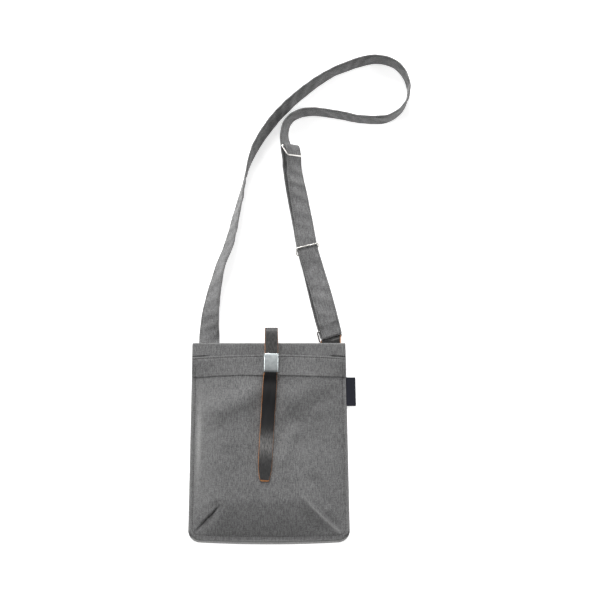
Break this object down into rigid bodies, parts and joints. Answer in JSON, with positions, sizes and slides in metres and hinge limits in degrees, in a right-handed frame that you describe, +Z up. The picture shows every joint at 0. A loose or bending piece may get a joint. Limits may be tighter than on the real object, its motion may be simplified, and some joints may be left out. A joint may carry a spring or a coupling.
{
  "type": "cloth shoulder tool bag",
  "caption": "Flat cloth shoulder bag for tools, lying on its back: pillowed front panel with hem band, leather closure strap through a metal keeper, cloth strap with wire sliders and ring tab.",
  "frame": {"origin": "middle of the back panel's flat underside, on the surface that the bag lies on", "axes": "+X to the bag's right seen from the front, +Y from its bottom edge to its mouth and on to the strap, +Z up out of its front"},
  "size_m": [0.2715, 0.5985, 0.0317],
  "materials": {
    "bag_cloth": "grey melange cloth with fine upright slubs",
    "strap_cloth": "grey melange cloth strap, sewn along both edges",
    "black_leather": "black smooth leather with tan cut edges",
    "keeper_steel": "satin sheet steel",
    "bright_wire": "bright plated wire",
    "label_cloth": "dark woven label, blank"
  },
  "bodies": {
    "root": {"back_panel": "bag_cloth", "front_panel": "bag_cloth", "leather_strap": "black_leather", "keeper": "keeper_steel", "shoulder_strap": "strap_cloth", "upper_slider": "bright_wire", "lower_slider": "bright_wire", "strap_ring": "bright_wire", "ring_tab": "black_leather", "side_label": "label_cloth"}
  },
  "joints": []
}
